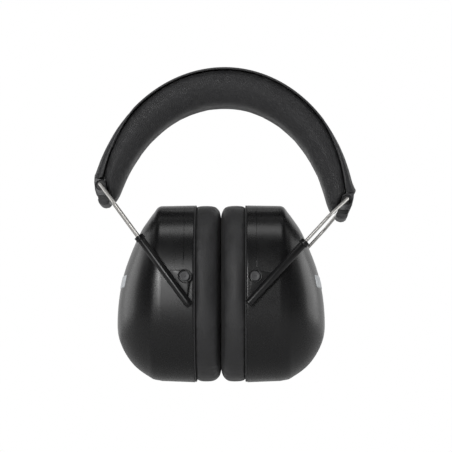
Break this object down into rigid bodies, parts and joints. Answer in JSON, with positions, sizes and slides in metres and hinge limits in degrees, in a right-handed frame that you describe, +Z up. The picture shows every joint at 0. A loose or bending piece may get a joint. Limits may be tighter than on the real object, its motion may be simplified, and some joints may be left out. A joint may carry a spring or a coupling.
{
  "type": "hearing protection earmuffs",
  "caption": "Hearing protection earmuffs: padded sprung headband, wire yokes sliding in tubular arms, and deep black ear cups with soft sealing cushions.",
  "frame": {"origin": "underside of the headband pad at the crown, on the band's middle line, where it rests on the wearer's head", "axes": "+Z up through the crown, +X towards the cup named right, which is the viewer's right from the front, and +Y from the front to the back"},
  "size_m": [0.1652, 0.1018, 0.1996],
  "materials": {
    "cover_leatherette": "fine-grained leatherette, satin",
    "pad_leatherette": "soft stitched leatherette over foam, matt",
    "spring_steel": "rolled spring steel",
    "piping_vinyl": "smooth satin",
    "block_plastic": "fine moulded texture",
    "rivet_steel": "plain",
    "wire_steel": "polished stainless wire",
    "arm_plastic": "smooth moulded",
    "shell_plastic": "satin moulded",
    "plate_plastic": "plain moulded",
    "cushion_leatherette": "soft matt leatherette over foam",
    "liner_foam": "open-cell foam",
    "stud_plastic": "smooth moulded",
    "badge_print": "plain pale bar, no lettering"
  },
  "bodies": {
    "headband": {"headband_cover": "cover_leatherette", "headband_pad": "pad_leatherette", "spring_strip": "spring_steel", "front_piping": "piping_vinyl", "rear_piping": "piping_vinyl", "left_end_block": "block_plastic", "right_end_block": "block_plastic", "left_band_rivets": "rivet_steel", "right_band_rivets": "rivet_steel"},
    "left_yoke": {"left_wire_yoke": "wire_steel"},
    "left_arms": {"left_front_arm": "arm_plastic", "left_rear_arm": "arm_plastic", "left_tube_collars": "arm_plastic", "left_tube_plugs": "arm_plastic"},
    "left_cup": {"left_cup_shell": "shell_plastic", "left_back_plate": "plate_plastic", "left_ear_cushion": "cushion_leatherette", "left_foam_liner": "liner_foam", "left_pivot_studs": "stud_plastic", "left_stud_washers": "stud_plastic", "left_badge": "badge_print"},
    "right_yoke": {"right_wire_yoke": "wire_steel"},
    "right_arms": {"right_front_arm": "arm_plastic", "right_rear_arm": "arm_plastic", "right_tube_collars": "arm_plastic", "right_tube_plugs": "arm_plastic"},
    "right_cup": {"right_cup_shell": "shell_plastic", "right_back_plate": "plate_plastic", "right_ear_cushion": "cushion_leatherette", "right_foam_liner": "liner_foam", "right_pivot_studs": "stud_plastic", "right_stud_washers": "stud_plastic", "right_badge": "badge_print"}
  },
  "joints": [
    {"name": "left_yoke_swing", "type": "hinge", "parent": "headband", "child": "left_yoke", "pos_m": [-0.08179, 0, -0.05391], "axis": [0, 1, 0], "range_deg": [0, 55], "stiffness_Nm_per_rad": 0.6, "springref_deg": -20.05},
    {"name": "left_size_slide", "type": "slide", "parent": "left_yoke", "child": "left_arms", "axis": [-0.5926, 0, 0.8055], "range_m": [0, 0.01502]},
    {"name": "left_cup_tilt", "type": "hinge", "parent": "left_arms", "child": "left_cup", "pos_m": [-0.0271, 0, -0.11425], "axis": [0, 1, 0], "range_deg": [-55, 0]},
    {"name": "right_yoke_swing", "type": "hinge", "parent": "headband", "child": "right_yoke", "pos_m": [0.07461, 0, -0.06347], "axis": [0, -1, 0], "range_deg": [0, 55], "stiffness_Nm_per_rad": 0.6, "springref_deg": -20.05},
    {"name": "right_size_slide", "type": "slide", "parent": "right_yoke", "child": "right_arms", "axis": [0.6786, 0, 0.7345], "range_m": [0, 0.0108]},
    {"name": "right_cup_tilt", "type": "hinge", "parent": "right_arms", "child": "right_cup", "pos_m": [0.0164, 0, -0.11425], "axis": [0, -1, 0], "range_deg": [-55, 0]}
  ],
  "couplings": [
    {"joint": "left_cup_tilt", "follows": "left_yoke_swing", "ratio": -1},
    {"joint": "right_cup_tilt", "follows": "right_yoke_swing", "ratio": -1}
  ]
}
